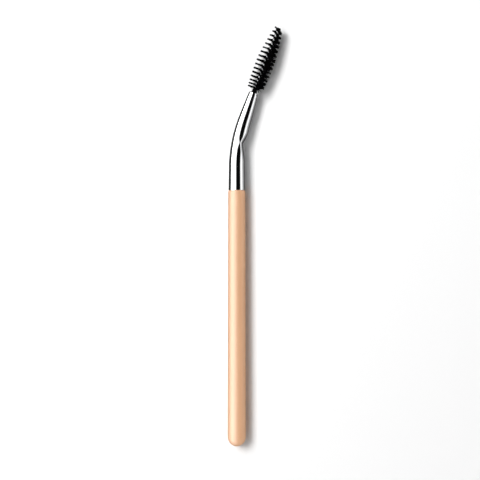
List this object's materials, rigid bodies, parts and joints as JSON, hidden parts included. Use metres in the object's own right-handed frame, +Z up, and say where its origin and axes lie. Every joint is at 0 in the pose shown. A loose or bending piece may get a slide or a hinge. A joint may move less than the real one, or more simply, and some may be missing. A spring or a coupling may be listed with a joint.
{
  "type": "eyebrow brush",
  "caption": "Slim brush for combing brows: a rounded lacquered handle, a bent chromed ferrule and a twisted-wire head of short stiff bristles.",
  "frame": {"origin": "centre of the bounding box, on the floor under the brush as it lies at rest", "axes": "+Y along the handle toward the bristle head, +X toward the side that the head bends to, +Z up from the floor"},
  "size_m": [0.0216, 0.1651, 0.0074],
  "materials": {
    "handle_lacquer": "satin peach lacquer over turned wood",
    "ferrule_chrome": "mirror-bright chrome plating",
    "adhesive": "dark set adhesive",
    "wire_steel": "bright drawn wire",
    "bristle_nylon": "black nylon filament"
  },
  "bodies": {
    "root": {"handle": "handle_lacquer", "ferrule": "ferrule_chrome", "stem_plug": "adhesive", "stem_wire": "wire_steel", "bristle_row_01": "bristle_nylon", "bristle_row_02": "bristle_nylon", "bristle_row_03": "bristle_nylon", "bristle_row_04": "bristle_nylon", "bristle_row_05": "bristle_nylon", "bristle_row_06": "bristle_nylon", "bristle_row_07": "bristle_nylon", "bristle_row_08": "bristle_nylon", "bristle_row_09": "bristle_nylon", "bristle_row_10": "bristle_nylon", "bristle_row_11": "bristle_nylon", "bristle_row_12": "bristle_nylon", "bristle_row_13": "bristle_nylon", "bristle_row_14": "bristle_nylon", "bristle_row_15": "bristle_nylon", "bristle_row_16": "bristle_nylon"}
  },
  "joints": []
}
